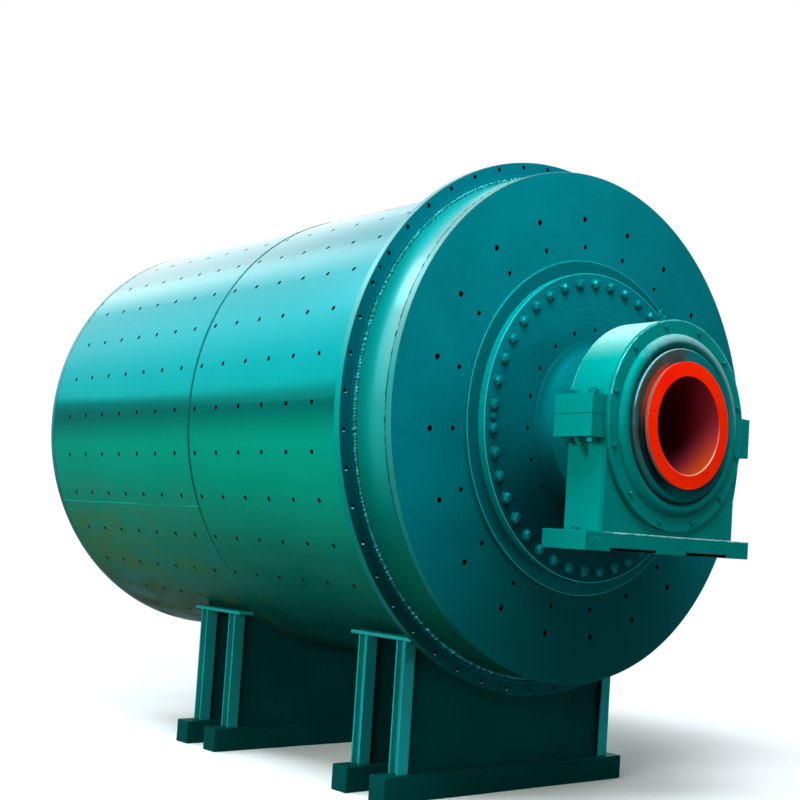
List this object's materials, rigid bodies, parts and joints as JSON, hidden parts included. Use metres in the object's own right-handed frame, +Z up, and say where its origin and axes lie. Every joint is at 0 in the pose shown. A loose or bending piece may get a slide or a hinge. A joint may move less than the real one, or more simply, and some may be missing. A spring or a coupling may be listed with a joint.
{
  "type": "ball mill",
  "caption": "Large horizontal grinding drum with flanged hollow trunnions in split bearing housings, resting on two steel shop cradles.",
  "frame": {"origin": "centre of the footprint at ground level, under the middle of the mill axis", "axes": "+X along the mill axis towards the end with the gear flange, +Z up"},
  "size_m": [5.494, 3.21, 3.8047],
  "materials": {
    "shell_paint": "gloss",
    "head_paint": "gloss",
    "housing_paint": "gloss",
    "fastener_paint": "satin",
    "cradle_paint": "satin",
    "liner_red": "satin"
  },
  "bodies": {
    "stand": {"base_plate_near": "housing_paint", "base_screws_near": "fastener_paint", "pedestal_near": "housing_paint", "cap_near": "housing_paint", "cap_studs_near": "fastener_paint", "retainer_ring_near": "housing_paint", "seal_ring_near": "housing_paint", "ring_bolts_near": "fastener_paint", "eyebolt_near": "fastener_paint", "base_plate_far": "housing_paint", "base_screws_far": "fastener_paint", "pedestal_far": "housing_paint", "cap_far": "housing_paint", "cap_studs_far": "fastener_paint", "retainer_ring_far": "housing_paint", "seal_ring_far": "housing_paint", "ring_bolts_far": "fastener_paint", "eyebolt_far": "fastener_paint", "cradle_a_saddle": "cradle_paint", "cradle_a_webs": "cradle_paint", "cradle_a_posts": "cradle_paint", "cradle_a_sills": "cradle_paint", "cradle_b_saddle": "cradle_paint", "cradle_b_webs": "cradle_paint", "cradle_b_posts": "cradle_paint", "cradle_b_sills": "cradle_paint"},
    "rotor": {"shell_far_strake": "shell_paint", "shell_near_strake": "shell_paint", "gear_flange": "shell_paint", "head_near": "head_paint", "trunnion_near": "head_paint", "flange_bolts_near": "fastener_paint", "liner_near": "liner_red", "head_far": "head_paint", "trunnion_far": "head_paint", "flange_bolts_far": "fastener_paint", "liner_far": "liner_red"}
  },
  "joints": [
    {"name": "drum_spin", "type": "hinge", "parent": "stand", "child": "rotor", "pos_m": [0, 0, 2.2], "axis": [1, 0, 0], "continuous": true}
  ]
}
